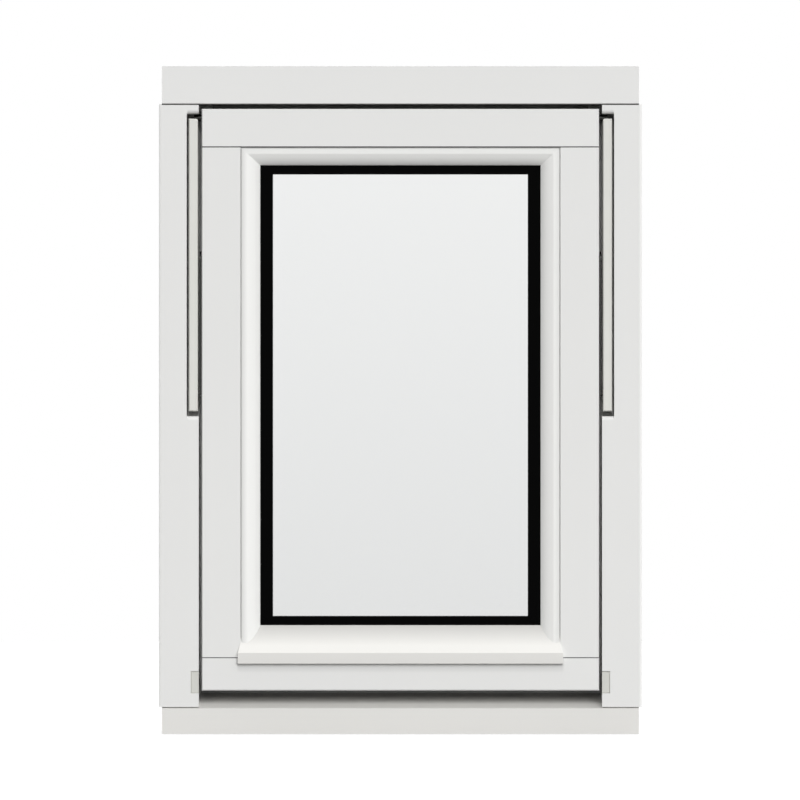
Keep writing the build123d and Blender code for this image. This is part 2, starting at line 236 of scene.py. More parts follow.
def powder_coat(name, colour, roughness):
    """Fine orange-peel texture of a baked coat on metal."""
    coat = Finish(bpy.data.materials.new(name))
    peel = coat.clouds(1400.0, 2.0)
    shade = coat.shade(scaled(colour, 0.97), scaled(colour, 1.02), coat.clouds(30.0, 3.0))
    return coat.surface(Base_Color=shade, Roughness=roughness - 0.06 + peel * 0.12,
                        Normal=coat.bump(peel, 0.0002, 0.25))


def plated_steel(name, colour):
    """Black zinc on pressed steel, with rolling marks along the strip."""
    plate = Finish(bpy.data.materials.new(name))
    marks = plate.clouds(700.0, 4.0, (1.0, 1.0, 0.05))
    spangle = plate.clouds(120.0, 2.0)
    shade = plate.shade(scaled(colour, 0.86), scaled(colour, 1.08), spangle)
    return plate.surface(Base_Color=shade, Metallic=1.0, Roughness=0.26 + marks * 0.16,
                         Normal=plate.bump(marks, 0.0001, 0.2))


def moulded_plastic(name, colour):
    """Fine spark texture of a moulding."""
    plastic = Finish(bpy.data.materials.new(name))
    spark = plastic.clouds(2600.0, 1.0)
    shade = plastic.shade(scaled(colour, 0.97), scaled(colour, 1.03), plastic.clouds(45.0, 2.0))
    return plastic.surface(Base_Color=shade, Roughness=0.42 + spark * 0.16,
                           Normal=plastic.bump(spark, 0.0001, 0.3))


def black_rubber(name, colour, roughness):
    """Matt extruded rubber with a trace of bloom."""
    rubber = Finish(bpy.data.materials.new(name))
    bloom = rubber.clouds(60.0, 4.0)
    pores = rubber.clouds(2200.0, 2.0)
    shade = rubber.shade(scaled(colour, 0.7), scaled(colour, 1.5), bloom)
    return rubber.surface(Base_Color=shade, Roughness=roughness - 0.05 + bloom * 0.1,
                          Specular_IOR_Level=0.02, Normal=rubber.bump(pores, 0.00008, 0.25))


def float_glass(name, colour, waviness):
    """Clear glass with the faintest roller wave and a smear of dust in its roughness."""
    glass = Finish(bpy.data.materials.new(name))
    wave = glass.clouds(3.0, 1.0, (1.0, 1.0, 0.4))
    dust = glass.clouds(40.0, 6.0)
    return glass.surface(Base_Color=rgba(colour), Roughness=dust * 0.02, Transmission_Weight=1.0,
                         IOR=1.5, Normal=glass.bump(wave, 0.0004, waviness))


def give(node, material):
    """Puts a material in the node's own slot."""
    piece = frame["nodes"][node]
    if piece.material_slots:
        piece.material_slots[0].material = material
    else:
        piece.data.materials.append(material)


def nodes_in(slot):
    """The nodes whose finish is this material slot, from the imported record."""
    return [part["node"] for part in frame["record"]["subparts"] if part["material_slot"] == slot]


def new_piece(name, mesh, material, body):
    """A finished mesh as a piece that rides on a body."""
    piece = bpy.data.objects.new(name, mesh)
    bpy.context.scene.collection.objects.link(piece)
    piece.data.materials.clear()
    piece.data.materials.append(material)
    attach(piece, body)
    return piece


class TimberSettings(bpy.types.PropertyGroup):
    colour: bpy.props.FloatVectorProperty(
        name="Paint", description="Colour of the satin paint", default=(0.775, 0.775, 0.762), size=3,
        subtype="COLOR", min=0.0, max=1.0)
    weather_colour: bpy.props.FloatVectorProperty(
        name="Sill paint", description="Colour of the paint on the sill and the drip bead",
        default=(0.745, 0.737, 0.71), size=3, subtype="COLOR", min=0.0, max=1.0)
    roughness: bpy.props.FloatProperty(
        name="Roughness", description="How matt the paint is", default=0.42, subtype="FACTOR")
    # The beads get a lighter copy of the paint: a painted sheen in place of the gloss on their curved
    # faces
    bead_lit_colour: bpy.props.FloatVectorProperty(
        name="Bead paint", description="Colour of the paint on the moulded beads",
        default=(0.885, 0.885, 0.865), size=3, subtype="COLOR", min=0.0, max=1.0)
    # A painted highlight: how much lighter the drip bead's slope is painted, in place of its sheen
    slope_highlight: bpy.props.FloatProperty(
        name="Washed slope", description="How much lighter the rain keeps the drip bead's slope",
        default=1.12)
    # Painted shade: how dark the paint is painted deep in the frame's rebate and under the head, where
    # shade falls
    rebate_shade: bpy.props.FloatProperty(
        name="Soiled rebate", description="How light the paint is deep in the frame's rebate",
        default=0.42, subtype="FACTOR")
    # Painted shade: how dark the paint is painted on the walls of the open joints
    joint_shade: bpy.props.FloatProperty(
        name="Open joints", description="How light the bare timber in the open joints is",
        default=0.12, subtype="FACTOR")
    # Painted highlights on the jambs' outer arrises: how much lighter each is painted, the left more
    # than the right
    arris_highlight_right: bpy.props.FloatProperty(
        name="Worn right arris", default=1.18,
        description="How much lighter the right jamb's rubbed outer arris is")
    arris_highlight_left: bpy.props.FloatProperty(
        name="Worn left arris", default=1.25,
        description="How much lighter the left jamb's rubbed outer arris is")
    # A painted shadow: how dark the bottom rail's paint is painted close under the drip bead's nose
    drip_shadow: bpy.props.FloatProperty(
        name="Soil under the drip", default=0.78, subtype="FACTOR",
        description="How light the bottom rail's paint is close under the drip bead")
    # Painted shade: how dark the beads' paint is painted on the roll beside the quirk
    quirk_shade: bpy.props.FloatProperty(
        name="Soiled quirk", description="How light the beads' paint is beside the quirk",
        default=0.78, subtype="FACTOR")
    # Painted shade: how dark the drip bead's slope is painted beside the glass
    glass_shade: bpy.props.FloatProperty(
        name="Soiled drip bead", description="How light the drip bead's paint is beside the glass",
        default=0.76, subtype="FACTOR")
    relief: bpy.props.FloatProperty(
        name="Relief", description="How much of the brush marks shows", default=0.12,
        subtype="FACTOR")
    brush_scale: bpy.props.FloatProperty(
        name="Brush scale", description="How fine the brush marks are", default=1.0)


class BeadSettings(bpy.types.PropertyGroup):
    lip_depth: bpy.props.FloatProperty(
        name="Lip", description="Depth of a bead's slope at the glass, from the sash's face",
        default=0.0105, unit="LENGTH")
    slope_bow: bpy.props.FloatProperty(
        name="Slope bow", description="How far a bead's slope swells", default=0.0012,
        unit="LENGTH")
    foot_share: bpy.props.FloatProperty(
        name="Slope end", description="Where the slope ends, as a share of the bead's width",
        default=0.56, subtype="FACTOR")
    foot_depth: bpy.props.FloatProperty(
        name="Slope end depth", description="Depth where the slope ends", default=0.001,
        unit="LENGTH")
    crest_share: bpy.props.FloatProperty(
        name="Crest", description="Where the crest lies, as a share of the bead's width",
        default=0.66, subtype="FACTOR")
    crest_depth: bpy.props.FloatProperty(
        name="Crest depth", description="Depth of the crest", default=0.0002, unit="LENGTH")
    roll_bow: bpy.props.FloatProperty(
        name="Roll bow", description="How round the roll beside the quirk is", default=0.00015,
        unit="LENGTH")
    shoulder_depth: bpy.props.FloatProperty(
        name="Shoulder depth", description="Depth of the roll at the quirk", default=0.0004,
        unit="LENGTH")
    quirk_width: bpy.props.FloatProperty(
        name="Quirk width", description="Width of the narrow groove beside the stile",
        default=0.0013, unit="LENGTH")
    quirk_depth: bpy.props.FloatProperty(
        name="Quirk depth", description="Depth of that groove", default=0.0042, unit="LENGTH")
    drip_bow: bpy.props.FloatProperty(
        name="Drip bow", description="How far the drip bead's slope swells", default=0.0002,
        unit="LENGTH")
    nose_height: bpy.props.FloatProperty(
        name="Nose height", description="Height of the drip bead's nose", default=0.0134,
        unit="LENGTH")
    nose_round: bpy.props.FloatProperty(
        name="Nose arris", description="Radius of the nose's lower arris", default=0.0008,
        unit="LENGTH")
    throat_radius: bpy.props.FloatProperty(
        name="Throat", description="Radius of the groove under the nose", default=0.0015,
        unit="LENGTH")


class GlazingSettings(bpy.types.PropertyGroup):
    glass: bpy.props.FloatVectorProperty(
        name="Glass", description="Tint of one pane", default=(0.965, 0.97, 0.968), size=3,
        subtype="COLOR", min=0.0, max=1.0)
    rubber: bpy.props.FloatVectorProperty(
        name="Rubber", description="Colour of the strips around the glass",
        default=(0.001, 0.001, 0.001), size=3, subtype="COLOR", min=0.0, max=1.0)
    waviness: bpy.props.FloatProperty(
        name="Waviness", description="Roller wave in the glass", default=0.02, subtype="FACTOR")


class GearSettings(bpy.types.PropertyGroup):
    rail: bpy.props.FloatVectorProperty(
        name="Rail", description="Coat of the guide rails", default=(0.714, 0.714, 0.673), size=3,
        subtype="COLOR", min=0.0, max=1.0)
    catch: bpy.props.FloatVectorProperty(
        name="Catch", description="Colour of the plates at the jambs' feet",
        default=(0.62, 0.62, 0.58), size=3, subtype="COLOR", min=0.0, max=1.0)
    steel: bpy.props.FloatVectorProperty(
        name="Steel", description="Colour of the plated arms and plates",
        default=(0.05, 0.05, 0.048), size=3, subtype="COLOR", min=0.0, max=1.0)
    screw_radius: bpy.props.FloatProperty(
        name="Screw head", description="Radius of a screw's head", default=0.0036, unit="LENGTH")
    track_floor: bpy.props.FloatProperty(
        name="Track floor", description="From the sash's edge to the floor of the rail's track",
        default=0.0104, unit="LENGTH")
    screw_recess: bpy.props.FloatProperty(
        name="Recess", description="Depth of the cross in a screw's head", default=0.0014,
        unit="LENGTH")


class StageSettings(bpy.types.PropertyGroup):
    distance: bpy.props.FloatProperty(
        name="Camera distance", description="From the window's outer face", default=12.0, unit="LENGTH")
    width: bpy.props.FloatProperty(
        name="View width", description="Width that the picture covers at the window", default=0.974,
        unit="LENGTH")
    height: bpy.props.FloatProperty(
        name="Camera height", description="Height of the camera above the floor", default=0.4068,
        unit="LENGTH")
    offset: bpy.props.FloatProperty(
        name="Camera offset", description="How far the camera stands to the left", default=0.0005,
        unit="LENGTH")
    key: bpy.props.FloatProperty(
        name="Key light", description="Strength of the soft sun from the upper right", default=1.84)
    key_width: bpy.props.FloatProperty(
        name="Key width", description="How wide the key light looks from the window",
        default=math.radians(40.0), subtype="ANGLE")
    sky: bpy.props.FloatProperty(
        name="Sky", description="Strength of the soft light from above and in front", default=0.6)
    room: bpy.props.FloatProperty(
        name="Room", description="Strength of the soft light from above and behind", default=1.25)


class PaintTimber(bpy.types.Operator):
    """Paint the frame and the sash"""

    bl_idname = "pivot_window.paint_timber"
    bl_label = "Paint Timber"

    def execute(self, context):
        settings = context.scene.window_timber
        in_joint = below("Y", FACE + JOINT_DEPTH, 2 * EDGE)
        painted_shading = self.frame_shading(settings, in_joint) | self.sash_shading(settings, in_joint)
        # Each timber's paint gets its rows of painted shade and painted highlights
        for node, shading_rows in painted_shading.items():
            grain = UPRIGHT if node.endswith(("left", "right")) else CROSS
            base = settings.weather_colour if node == "frame_sill" else settings.colour
            name = "paint on " + node.replace("_", " ")
            give(node, painted_timber(name, settings, base, grain, shading_rows))
        return {"FINISHED"}

    def frame_shading(self, settings, in_joint):
        """Painted shade in the rebate, under the head and in the joints between head and jambs, and
        painted highlights on the jambs' outer arrises.
        """
        # The shares of painted shade in the rebate and in the open joints
        rebate_shade_share, gap = settings.rebate_shade, settings.joint_shade
        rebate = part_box("jamb_seal_right")[1].y
        side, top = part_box("frame_jamb_right")[1].x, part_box("frame_jamb_right")[1].z
        # Painted shade deep in the rebate, between the sash and the frame
        in_rebate = (("Y", FACE + REBATE_SHADE_START, rebate - REBATE_SHADE_FULL),
                     *within(side - REBATE_SHADE_SIDE, REBATE_SHADE_SIDE_FADE))
        room_side = (1.0, above("Y", rebate + 4 * EDGE))
        # Painted highlights along the jambs' outer arrises, near the face
        near_face = below("Y", FACE + ARRIS_FACE, ARRIS_FACE)
        # The jambs: painted shade low in the rebate and in the open joint under the head
        jamb = ((rebate_shade_share, below("Z", REBATE_SHADE_HEIGHT, REBATE_SHADE_FADE), *in_rebate), room_side,
                (gap, above("Z", top - JAMB_JOINT), in_joint, *within(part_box("frame_head")[1].x)),
                (settings.arris_highlight_right, above("X", side - ARRIS_SIDE, ARRIS_FADE), near_face),
                (settings.arris_highlight_left, below("X", ARRIS_SIDE - side, ARRIS_FADE), near_face))
        underside = below("Z", top + HAIR, HAIR)
        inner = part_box("catch_right")[0].x
        # The head's underside: painted shade in front of the rebate, and painted shade in the open
        # joints above the jambs
        head = ((rebate_shade_share, underside, below("Y", rebate)),
                (gap, underside, in_joint, above("X", inner)),
                (gap, underside, in_joint, below("X", -inner)))
        # The sill: painted shade deep in the rebate under the sash
        sill = ((rebate_shade_share, *in_rebate), room_side)
        return {"frame_jamb_left": jamb, "frame_jamb_right": jamb, "frame_head": head,
                "frame_sill": sill}

    def sash_shading(self, settings, in_joint):
        """Painted shade in the joints between stiles and rails, and a painted shadow under the drip
        bead.
        """
        gap = settings.joint_shade
        low, high = (corner.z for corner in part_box("sash_stile_right"))
        drip_low, drip_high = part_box("drip_bead")
        # Painted shade on the walls of the open joints between stiles and rails
        stile = ((gap, above("Z", high, HAIR), in_joint), (gap, below("Z", low, HAIR), in_joint))
        top_rail = ((gap, below("Z", high + TOP_JOINT, HAIR), in_joint),)
        # A painted shadow on the bottom rail close under the drip bead's nose
        bottom_rail = ((settings.drip_shadow, above("Z", drip_low.z - DRIP_EDGE, DRIP_SHADOW_REACH),
                        *within(drip_high.x - DRIP_EDGE, DRIP_SHADOW_ENDS),
                        below("Y", FACE + DRIP_EDGE, DRIP_EDGE)),
                       (gap, above("Z", low - BOTTOM_JOINT, HAIR), in_joint))
        return {"sash_stile_left": stile, "sash_stile_right": stile, "sash_top_rail": top_rail,
                "sash_bottom_rail": bottom_rail}


class Glaze(bpy.types.Operator):
    """Finish the panes, their rubber strips and the spacer bars"""

    bl_idname = "pivot_window.glaze"
    bl_label = "Glaze Sash"

    def execute(self, context):
        settings = context.scene.window_glazing
        pane = float_glass("float glass", settings.glass, settings.waviness)
        strip = black_rubber("glazing strip", settings.rubber, 0.7)
        spacer = black_rubber("spacer bar", settings.rubber, 0.55)
        for node in nodes_in("pane_glass"):
            give(node, pane)
        for node in nodes_in("glazing_rubber"):
            give(node, strip)
        for node in nodes_in("spacer_bar"):
            give(node, spacer)
        return {"FINISHED"}


class FinishGear(bpy.types.Operator):
    """Finish the rails, the catches, the side arms, their plates and the handle"""

    bl_idname = "pivot_window.finish_gear"
    bl_label = "Finish Side Gear"

    def execute(self, context):
        settings = context.scene.window_gear
        finishes = {"rail_paint": powder_coat("rail coat", settings.rail, 0.45),
                    "catch_moulding": moulded_plastic("catch moulding", settings.catch),
                    "gear_steel": plated_steel("zinc plate", settings.steel),
                    "handle_paint": powder_coat("handle coat", settings.rail, 0.35)}
        for slot, material in finishes.items():
            for node in nodes_in(slot):
                give(node, material)
        return {"FINISHED"}


def bowed(start, end, bow, steps):
    """Points on a shallow arc between two points of a section, bowed out towards the weather."""
    start, run = Vector(start), Vector(end) - Vector(start)
    out = Vector((run.y, -run.x)).normalized()
    radius = (run.length ** 2 / 4 + bow ** 2) / (2 * bow)
    half = math.asin(run.length / 2 / radius)
    points = []
    for step in range(steps + 1):
        turn = half * (2 * step / steps - 1)
        along = run.length / 2 + radius * math.sin(turn)
        rise = radius * math.cos(turn) - radius + bow
        points.append(start + run.normalized() * along + out * rise)
    return points


def bead_section(width, settings):
    """A bead from the glass outwards, as distance and depth: slope, crest, roll and quirk."""
    foot = (settings.foot_share * width, settings.foot_depth)
    crest = (settings.crest_share * width, settings.crest_depth)
    shoulder = (width - settings.quirk_width, settings.shoulder_depth)
    points = bowed((0.0, settings.lip_depth), foot, settings.slope_bow, SLOPE_CUTS)
    points += bowed(foot, crest, CREST_BOW, CREST_CUTS)[1:]
    points += bowed(crest, shoulder, settings.roll_bow, ROLL_CUTS)[1:]
    corners = ((shoulder[0], settings.quirk_depth), (width, settings.quirk_depth),
               (width, BEAD_BACK), (0.0, BEAD_BACK))
    return points + [Vector(corner) for corner in corners]


def closed_shell(name, rings, caps):
    """Quads between the rings, with the given faces besides, smooth but for the arrises."""
    shell = bmesh.new()
    made = {}

    def corner(point):
        key = tuple(round(value, 7) for value in point)
        if key not in made:
            made[key] = shell.verts.new(key)
        return made[key]

    def face(points):
        corners = list(dict.fromkeys(corner(point) for point in points))
        if len(corners) > 2:
            shell.faces.new(corners)

    for near, far, closed in rings:
        count = len(near) if closed else len(near) - 1
        for place in range(count):
            after = (place + 1) % len(near)
            face((near[place], near[after], far[after], far[place]))
    for cap in caps:
        face(cap)
    bmesh.ops.recalc_face_normals(shell, faces=shell.faces)
    mesh = bpy.data.meshes.new(name)
    shell.to_mesh(mesh)
    shell.free()
    mesh.shade_smooth()
    mesh.set_sharp_from_angle(angle=SHARP_ARRIS)
    return mesh


def seal_section(width, reach, foot):
    """A bulb on a flat foot: how far out from the stop's edge, and how far off its face."""
    radius = (reach - foot) / 2 + BULB_GROWTH
    middle = (width / 2, reach - radius)
    outline = [(0.0, 0.0), (width, 0.0), (width, foot)]
    for step in range(BULB_CUTS + 1):
        angle = math.radians(BULB_START + step * BULB_SWEEP / BULB_CUTS)
        outline.append((middle[0] + radius * math.cos(angle), middle[1] + radius * math.sin(angle)))
    outline.append((0.0, foot))
    return outline


def swept_ring(name, section, inner, face):
    """The section carried round a rectangle with mitred corners."""
    (low_x, low_z), (high_x, high_z) = inner
    shell = bmesh.new()
    corners = ((low_x, low_z, -1, -1), (high_x, low_z, 1, -1), (high_x, high_z, 1, 1),
               (low_x, high_z, -1, 1))
    rings = [[shell.verts.new((x + side * out, face - off, z + rise * out)) for out, off in section]
             for x, z, side, rise in corners]
    for near, far in zip(rings, rings[1:] + rings[:1]):
        for point in range(len(section)):
            after = (point + 1) % len(section)
            shell.faces.new((near[point], near[after], far[after], far[point]))
    bmesh.ops.recalc_face_normals(shell, faces=shell.faces)
    mesh = bpy.data.meshes.new(name)
    shell.to_mesh(mesh)
    shell.free()
    mesh.shade_smooth()
    return mesh


class FitBeads(bpy.types.Operator):
    """Fit the moulded beads round the glass, scribed at the foot and mitred at the head"""

    bl_idname = "pivot_window.fit_beads"
    bl_label = "Fit Glazing Beads"

    def execute(self, context):
        settings = context.scene.window_beads
        glass, edge = (corner.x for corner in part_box("side_bead_right"))
        low, high = (corner.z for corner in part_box("top_bead"))
        upright, cross, drip = self.paints(context.scene.window_timber, settings, glass, edge, high)
        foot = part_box("sash_stile_right")[0].z
        section, slope = self.drip_section(settings, foot)
        self.fit("drip_moulding", self.drip_mesh(section, slope, edge, foot), drip, "drip_bead")

        bead = bead_section(edge - glass, settings)
        pitch = (high - low) / (edge - glass)
        for side, hand in (("right", 1.0), ("left", -1.0)):
            scribe = [(hand * (glass + out), FACE + depth, self.scribed(slope, depth))
                      for out, depth in bead]
            mitre = [(hand * (glass + out), FACE + depth, low + out * pitch) for out, depth in bead]
            mesh = closed_shell("side moulding", [(scribe, mitre, True)], (scribe, mitre))
            self.fit(f"side_moulding_{side}", mesh, upright, f"side_bead_{side}")
        bead = bead_section(high - low, settings)
        ends = [[(hand * (glass + out / pitch), FACE + depth, low + out) for out, depth in bead]
                for hand in (-1.0, 1.0)]
        mesh = closed_shell("top moulding", [(*ends, True)], ends)
        self.fit("top_moulding", mesh, cross, "top_bead")
        return {"FINISHED"}

    def paints(self, timber, settings, glass, edge, high):
        """The paint on the side beads, on the top bead and on the drip bead, with painted shade beside
        the quirks, a painted highlight on the drip bead's slope and painted shade on that slope beside
        the glass.
        """
        roll = (1 - settings.crest_share) * (edge - glass)
        # Painted shade on the side and top beads' roll beside the quirk
        side_quirk_shade = ((timber.quirk_shade, below("X", -edge, roll)),
                     (timber.quirk_shade, above("X", edge, roll)))
        top_quirk_shade = ((timber.quirk_shade, above("Z", high, roll)),)
        drip_low, drip_high = (corner.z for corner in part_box("drip_bead"))
        nose_top = drip_low + settings.nose_height
        # The drip bead's slope: a painted highlight above the nose, and painted shade growing towards
        # the glass
        drip_shading = ((timber.slope_highlight, above("Z", nose_top)),
                (timber.glass_shade, ("Z", nose_top + GLASS_SHADE_START, drip_high)))
        # The beads take the lighter copy of the paint, a painted sheen
        bead, drip = timber.bead_lit_colour, timber.weather_colour
        return (painted_timber("paint on side beads", timber, bead, UPRIGHT, side_quirk_shade),
                painted_timber("paint on top bead", timber, bead, CROSS, top_quirk_shade),
                painted_timber("paint on drip bead", timber, drip, CROSS, drip_shading))

    def fit(self, name, mesh, paint, node):
        piece = new_piece(name, mesh, paint, "sash")
        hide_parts(node)

    def scribed(self, slope, depth):
        """The height at which the drip bead's slope has a depth, just under its surface."""
        for (high, near), (low, far) in zip(slope, slope[1:]):
            if near >= depth > far:
                return high + (low - high) * (near - depth) / (near - far) - SCRIBE_SINK
        return slope[0][0]

    def drip_section(self, settings, foot):
        """The drip bead's outline and its slope, as pairs of height and depth."""
        low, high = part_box("drip_bead")
        proud = low.y - FACE
        nose_top = low.z + settings.nose_height
        arc = bowed((0.0, settings.lip_depth), (high.z - nose_top, proud), settings.drip_bow,
                    DRIP_CUTS)
        slope = [(high.z - down, depth) for down, depth in arc]
        middle = proud / 2
        outline = list(slope)
        for step in range(NOSE_CUTS + 1):
            turn = math.radians(90.0 * step / NOSE_CUTS)
            outline.append((low.z + settings.nose_round * (1 - math.sin(turn)),
                            proud + settings.nose_round * (1 - math.cos(turn))))
        for step in range(THROAT_CUTS + 1):
            turn = math.pi * step / THROAT_CUTS
            outline.append((low.z + settings.throat_radius * math.sin(turn),
                            middle - settings.throat_radius * math.cos(turn)))
        outline += [(low.z, 0.0), (foot, 0.0), (foot, BEAD_BACK), (high.z, BEAD_BACK)]
        return outline, slope

    def drip_mesh(self, section, slope, edge, foot):
        """The drip bead with the two short horns of its nose, which stand over the stiles."""
        low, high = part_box("drip_bead")
        nose_top = slope[-1][0]
        horn_top = self.scribed(slope, 0.0) + SCRIBE_SINK
        cut = next(place for place, (height, depth) in enumerate(section) if depth < 0.0)
        section = section[:cut] + [(horn_top, 0.0)] + section[cut:]
        horn = section[cut:section.index((low.z, 0.0)) + 1]
        reach = high.x - edge

        def placed(points, x):
            return [(x, FACE + depth, height) for height, depth in points]

        def spread(points, hand):
            """The points at the horn's end, whose upper edge slants outwards and down."""
            return [(hand * (edge + reach * min(1.0, (horn_top - height) / (horn_top - nose_top))),
                     FACE + depth, height) for height, depth in points]

        rings = [(placed(section, -edge), placed(section, edge), True)]
        caps = []
        for hand in (-1.0, 1.0):
            rings.append((placed(horn, hand * edge), spread(horn, hand), False))
            nose = [point for point in horn if point[0] <= nose_top]
            rise = [point for point in horn if point[0] >= nose_top]
            tip = [(nose_top, 0.0)]
            caps.append(placed(section[:cut + 1] + section[-3:], hand * edge))
            caps.append(spread(nose + tip, hand))
            caps.append(spread(rise + tip, hand))
            caps.append(placed([horn[0]], hand * edge) + spread(tip + [horn[-1]], hand)
                        + placed([horn[-1], (foot, 0.0)], hand * edge))
        return closed_shell("drip moulding", rings, caps)


class FitSeals(bpy.types.Operator):
    """Fit the bulb seal round the stops in place of its plain strips"""

    bl_idname = "pivot_window.fit_seals"
    bl_label = "Fit Bulb Seal"

    def execute(self, context):
        low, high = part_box("jamb_seal_right")
        foot_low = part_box("sill_seal")[1].z
        head_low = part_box("head_seal")[0].z
        section = seal_section(high.x - low.x, high.y - low.y, SEAL_FOOT)
        mesh = swept_ring("bulb_seal", section, ((-low.x, foot_low), (low.x, head_low)), high.y)
        rubber = black_rubber("bulb seal rubber", SEAL_COLOUR, 0.6)
        seal = new_piece("bulb_seal", mesh, rubber, "frame")
        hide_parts("head_seal", "sill_seal", "jamb_seal_left", "jamb_seal_right")
        return {"FINISHED"}


def screw_head(radius, recess):
    """A countersunk head with a cross in it, its top facing along X."""
    head = bmesh.new()
    steps = range(SCREW_SIDES)

    def ring(height, reaches):
        turns = [math.tau * step / SCREW_SIDES for step in steps]
        return [head.verts.new((height, reach * math.cos(turn), reach * math.sin(turn)))
                for turn, reach in zip(turns, reaches)]

    def round_ring(height, share):
        return ring(height, [radius * share] * SCREW_SIDES)

    def cross(height, share):
        """A ring drawn in between the four arms of the cross."""
        folded = [abs((step % 6) - 3) / 3 for step in steps]
        return ring(height, [radius * share * (0.22 + 0.4 * fold ** 2) for fold in folded])

    rings = [round_ring(-0.0008, 0.8), round_ring(0.0, 1.0), round_ring(0.00012, 0.93),
             round_ring(0.00016, 0.7), cross(0.00016, 1.0), cross(-recess, 0.7)]
    for outer, inner in zip(rings, rings[1:]):
        for step in steps:
            after = (step + 1) % SCREW_SIDES
            head.faces.new((outer[step], outer[after], inner[after], inner[step]))
    head.faces.new(rings[-1])
    head.faces.new(rings[0][::-1])
    bmesh.ops.recalc_face_normals(head, faces=head.faces)
    mesh = bpy.data.meshes.new("screw head")
    head.to_mesh(mesh)
    head.free()
    return mesh


def screw_rows():
    """The tree that puts screws in a row, and its mirror row on the other side."""
    tree = bpy.data.node_groups.new("screw rows", "GeometryNodeTree")
    sockets = (("Screw", "NodeSocketObject"), ("Count", "NodeSocketInt"),
               ("First", "NodeSocketVector"), ("Step", "NodeSocketVector"),
               ("Finish", "NodeSocketMaterial"))
    for name, kind in sockets:
        tree.interface.new_socket(name=name, in_out="INPUT", socket_type=kind)
    tree.interface.new_socket(name="Geometry", in_out="OUTPUT", socket_type="NodeSocketGeometry")

    def add(kind, values=(), **settings):
        made = tree.nodes.new(kind)
        for name, value in settings.items():
            setattr(made, name, value)
        for name, value in values:
            if isinstance(value, bpy.types.NodeSocket):
                tree.links.new(value, made.inputs[name])
            else:
                made.inputs[name].default_value = value
        return made

    given = add("NodeGroupInput").outputs
    row = add("GeometryNodeMeshLine", (("Count", given["Count"]), ("Start Location", given["First"]),
                                       ("Offset", given["Step"])), mode="OFFSET")
    screw = add("GeometryNodeObjectInfo", (("Object", given["Screw"]),))
    placed = add("GeometryNodeInstanceOnPoints", (("Points", row.outputs[0]),
                                                  ("Instance", screw.outputs["Geometry"])))
    flipped = add("GeometryNodeTransform", (("Geometry", row.outputs[0]),
                                            ("Scale", (-1.0, 1.0, 1.0))))
    mirrored = add("GeometryNodeInstanceOnPoints", (("Points", flipped.outputs[0]),
                                                    ("Instance", screw.outputs["Geometry"]),
                                                    ("Rotation", (0.0, 0.0, math.pi))))
    both = add("GeometryNodeJoinGeometry")
    for source in (placed, mirrored):
        tree.links.new(source.outputs[0], both.inputs[0])
    real = add("GeometryNodeRealizeInstances", (("Geometry", both.outputs[0]),))
    coated = add("GeometryNodeSetMaterial", (("Geometry", real.outputs[0]),
                                             ("Material", given["Finish"])))
    add("NodeGroupOutput", (("Geometry", coated.outputs[0]),))
    return tree


def row_of_screws(tree, screw, finish, count, first, step):
    """One row and its mirror image, as a plain mesh."""
    holder = bpy.data.objects.new("row", bpy.data.meshes.new("row"))
    bpy.context.scene.collection.objects.link(holder)
    modifier = holder.modifiers.new("row", "NODES")
    modifier.node_group = tree
    values = {"Screw": screw, "Count": count, "First": first, "Step": step, "Finish": finish}
    for item in tree.interface.items_tree:
        if item.in_out == "INPUT":
            modifier[item.identifier] = values[item.name]
    holder.update_tag()
    graph = bpy.context.evaluated_depsgraph_get()
    mesh = bpy.data.meshes.new_from_object(holder.evaluated_get(graph), depsgraph=graph)
    bpy.data.objects.remove(holder)
    return mesh


class DriveScrews(bpy.types.Operator):
    """Put the screws in the rails, the catches and the sash's edge plates"""

    bl_idname = "pivot_window.drive_screws"
    bl_label = "Drive Screws"

    def execute(self, context):
        settings = context.scene.window_gear
        finish = plated_steel("screw plate", settings.steel)
        head = screw_head(settings.screw_radius, settings.screw_recess)
        pattern = bpy.data.objects.new("screw", head)
        bpy.context.scene.collection.objects.link(pattern)
        tree = screw_rows()
        plate_low, plate_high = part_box("sash_pivot_right")
        shoe_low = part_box("top_shoe_right")[0]
        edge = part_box("sash_stile_right")[1].x
        middle = (plate_low.y + plate_high.y) / 2
        rail_low, rail_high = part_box("guide_rail_left")
        catch_low, catch_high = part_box("catch_left")
        plate_step = plate_high.z - plate_low.z - 2 * PLATE_SCREW
        rail_step = (rail_high.z - rail_low.z - RAIL_SCREW_LOW - RAIL_SCREW_HIGH) / 2
        rows = {
            "sash_plate_screws": ("sash", 2, (edge, middle, plate_low.z + PLATE_SCREW), plate_step),
            "top_shoe_screws": ("sash", 1, (edge, middle, shoe_low.z + PLATE_SCREW), 0.0),
            "rail_screws": ("frame", 3, (-edge - settings.track_floor, middle,
                                         rail_low.z + RAIL_SCREW_LOW), rail_step),
            "catch_screws": ("frame", 1, (catch_high.x, catch_low.y + CATCH_SCREW,
                                          (catch_low.z + catch_high.z) / 2), 0.0),
        }
        for name, (body, count, first, step) in rows.items():
            mesh = row_of_screws(tree, pattern, finish, count, first, (0.0, 0.0, step))
            new_piece(name, mesh, finish, body)
        bpy.data.objects.remove(pattern)
        return {"FINISHED"}


